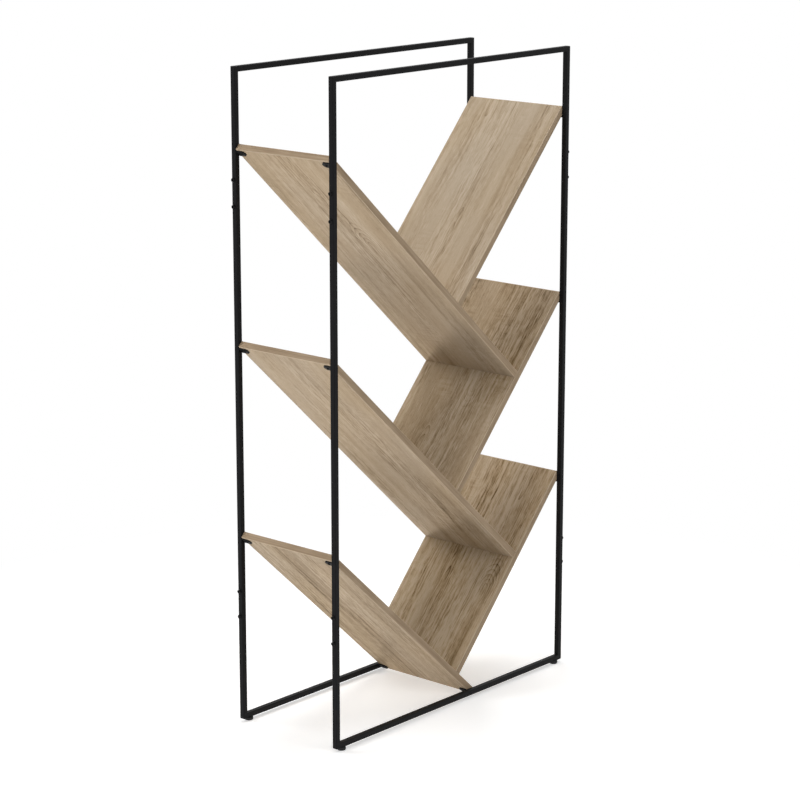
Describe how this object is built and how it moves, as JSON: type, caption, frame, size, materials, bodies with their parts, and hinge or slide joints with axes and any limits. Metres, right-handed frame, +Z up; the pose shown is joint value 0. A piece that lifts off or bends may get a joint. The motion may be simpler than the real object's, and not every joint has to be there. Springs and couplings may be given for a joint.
{
  "type": "zigzag bookshelf",
  "caption": "Free-standing open bookshelf: slanted wood-look boards lean on each other in a herringbone between two slim black square-tube frames on levelling feet.",
  "frame": {"origin": "on the floor below the middle of the frame", "axes": "+Z up, +X to the right along the width, +Y to the back along the depth"},
  "size_m": [0.83, 0.3114, 1.517],
  "materials": {
    "powder_coat": "satin black powder coat",
    "black_screw": "black oxide screw",
    "zinc_steel": "bright zinc plate",
    "shelf_laminate": "matt taupe oak-look laminate on particle board",
    "edge_band": "matt taupe oak-look edge band",
    "dowel_beech": "raw beech",
    "foot_plastic": "black moulded plastic"
  },
  "bodies": {
    "bookshelf": {"front_top_rail": "powder_coat", "front_bottom_rail": "powder_coat", "back_top_rail": "powder_coat", "back_bottom_rail": "powder_coat", "front_left_upper_leg": "powder_coat", "front_left_post": "powder_coat", "front_left_lower_leg": "powder_coat", "front_right_upper_leg": "powder_coat", "front_right_post": "powder_coat", "front_right_lower_leg": "powder_coat", "back_left_upper_leg": "powder_coat", "back_left_post": "powder_coat", "back_left_lower_leg": "powder_coat", "back_right_upper_leg": "powder_coat", "back_right_post": "powder_coat", "back_right_lower_leg": "powder_coat", "left_bottom_front_tab": "powder_coat", "left_bottom_back_tab": "powder_coat", "left_middle_front_tab": "powder_coat", "left_middle_back_tab": "powder_coat", "left_top_front_tab": "powder_coat", "left_top_back_tab": "powder_coat", "right_bottom_front_tab": "powder_coat", "right_bottom_back_tab": "powder_coat", "right_middle_front_tab": "powder_coat", "right_middle_back_tab": "powder_coat", "right_top_front_tab": "powder_coat", "right_top_back_tab": "powder_coat", "front_rail_tab": "powder_coat", "back_rail_tab": "powder_coat", "left_bottom_shelf": "shelf_laminate", "left_middle_shelf": "shelf_laminate", "left_top_shelf": "shelf_laminate", "right_bottom_shelf": "shelf_laminate", "right_middle_shelf": "shelf_laminate", "right_top_shelf": "shelf_laminate", "left_bottom_shelf_edge_band": "edge_band", "left_middle_shelf_edge_band": "edge_band", "left_top_shelf_edge_band": "edge_band", "right_bottom_shelf_edge_band": "edge_band", "right_middle_shelf_edge_band": "edge_band", "right_top_shelf_edge_band": "edge_band", "upper_splices": "zinc_steel", "lower_splices": "zinc_steel", "splice_screws": "black_screw", "tab_screws": "black_screw", "dowels": "dowel_beech", "cam_bolts": "zinc_steel", "cam_discs": "zinc_steel", "connecting_screws": "zinc_steel", "foot_nuts": "zinc_steel"},
    "front_left_stem": {"front_left_foot_stem": "zinc_steel"},
    "front_left_pad": {"front_left_foot_pad": "foot_plastic"},
    "front_right_stem": {"front_right_foot_stem": "zinc_steel"},
    "front_right_pad": {"front_right_foot_pad": "foot_plastic"},
    "back_left_stem": {"back_left_foot_stem": "zinc_steel"},
    "back_left_pad": {"back_left_foot_pad": "foot_plastic"},
    "back_right_stem": {"back_right_foot_stem": "zinc_steel"},
    "back_right_pad": {"back_right_foot_pad": "foot_plastic"}
  },
  "joints": [
    {"name": "front_left_foot_lift", "type": "slide", "parent": "bookshelf", "child": "front_left_stem", "axis": [0, 0, -1], "range_m": [0, 0.005]},
    {"name": "front_left_foot_turn", "type": "hinge", "parent": "front_left_stem", "child": "front_left_pad", "pos_m": [-0.387, -0.14565, 0], "axis": [0, 0, -1], "range_deg": [0, 1800]},
    {"name": "front_right_foot_lift", "type": "slide", "parent": "bookshelf", "child": "front_right_stem", "axis": [0, 0, -1], "range_m": [0, 0.005]},
    {"name": "front_right_foot_turn", "type": "hinge", "parent": "front_right_stem", "child": "front_right_pad", "pos_m": [0.387, -0.14565, 0], "axis": [0, 0, -1], "range_deg": [0, 1800]},
    {"name": "back_left_foot_lift", "type": "slide", "parent": "bookshelf", "child": "back_left_stem", "axis": [0, 0, -1], "range_m": [0, 0.005]},
    {"name": "back_left_foot_turn", "type": "hinge", "parent": "back_left_stem", "child": "back_left_pad", "pos_m": [-0.387, 0.14565, 0], "axis": [0, 0, -1], "range_deg": [0, 1800]},
    {"name": "back_right_foot_lift", "type": "slide", "parent": "bookshelf", "child": "back_right_stem", "axis": [0, 0, -1], "range_m": [0, 0.005]},
    {"name": "back_right_foot_turn", "type": "hinge", "parent": "back_right_stem", "child": "back_right_pad", "pos_m": [0.387, 0.14565, 0], "axis": [0, 0, -1], "range_deg": [0, 1800]}
  ],
  "couplings": [
    {"joint": "front_left_foot_lift", "follows": "front_left_foot_turn", "m_per_rad": 0.00015915},
    {"joint": "front_right_foot_lift", "follows": "front_right_foot_turn", "m_per_rad": 0.00015915},
    {"joint": "back_left_foot_lift", "follows": "back_left_foot_turn", "m_per_rad": 0.00015915},
    {"joint": "back_right_foot_lift", "follows": "back_right_foot_turn", "m_per_rad": 0.00015915}
  ]
}
